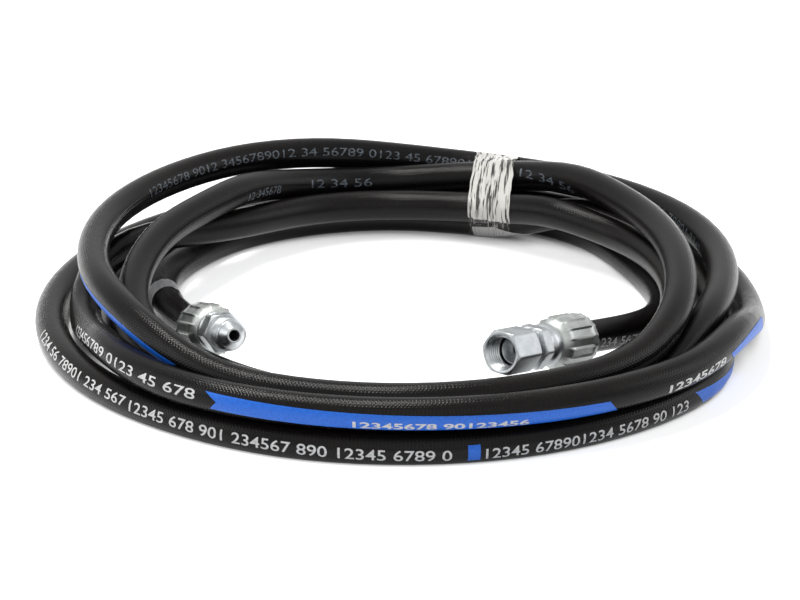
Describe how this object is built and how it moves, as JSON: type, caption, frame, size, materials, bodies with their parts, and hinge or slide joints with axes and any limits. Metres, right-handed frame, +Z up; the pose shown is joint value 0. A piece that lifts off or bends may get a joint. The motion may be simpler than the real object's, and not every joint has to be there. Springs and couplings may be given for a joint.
{
  "type": "hydraulic hose assembly",
  "caption": "Coiled wire-braided hydraulic hose with a male flare fitting at one end and a female flare fitting with a free-turning nut at the other, tied with clear film.",
  "frame": {"origin": "middle of the outline of the lying coil, on the floor", "axes": "+Z up through the coil, +X to the right and -Y to the front as the coil is seen in the picture; the female end is at the right front, the male end at the left front"},
  "size_m": [0.2896, 0.2868, 0.0384],
  "materials": {
    "cover_rubber": "satin black synthetic rubber with a fine wrapped texture",
    "braid_steel": "brass-coated high-tensile wire",
    "tube_rubber": "smooth oil-resistant rubber",
    "zinc_steel": "zinc plated with clear chromate",
    "ferrule_steel": "zinc plated, satin, crimped",
    "spring_wire": "bright drawn wire",
    "clear_film": "clear stretch film, wrinkled"
  },
  "bodies": {
    "hose": {"hose_cover": "cover_rubber", "wire_braid": "braid_steel", "inner_tube": "tube_rubber", "male_stem": "zinc_steel", "male_ferrule": "ferrule_steel", "female_stem": "zinc_steel", "female_ferrule": "ferrule_steel", "bundle_film_tie": "clear_film", "tail_film_tie": "clear_film"},
    "nut": {"swivel_nut": "zinc_steel", "nut_retaining_wire": "spring_wire"}
  },
  "joints": [
    {"name": "nut_turn", "type": "hinge", "parent": "hose", "child": "nut", "pos_m": [0.04269, -0.09207, 0.02578], "axis": [-0.5973, -0.7755, 0.2045], "continuous": true}
  ]
}
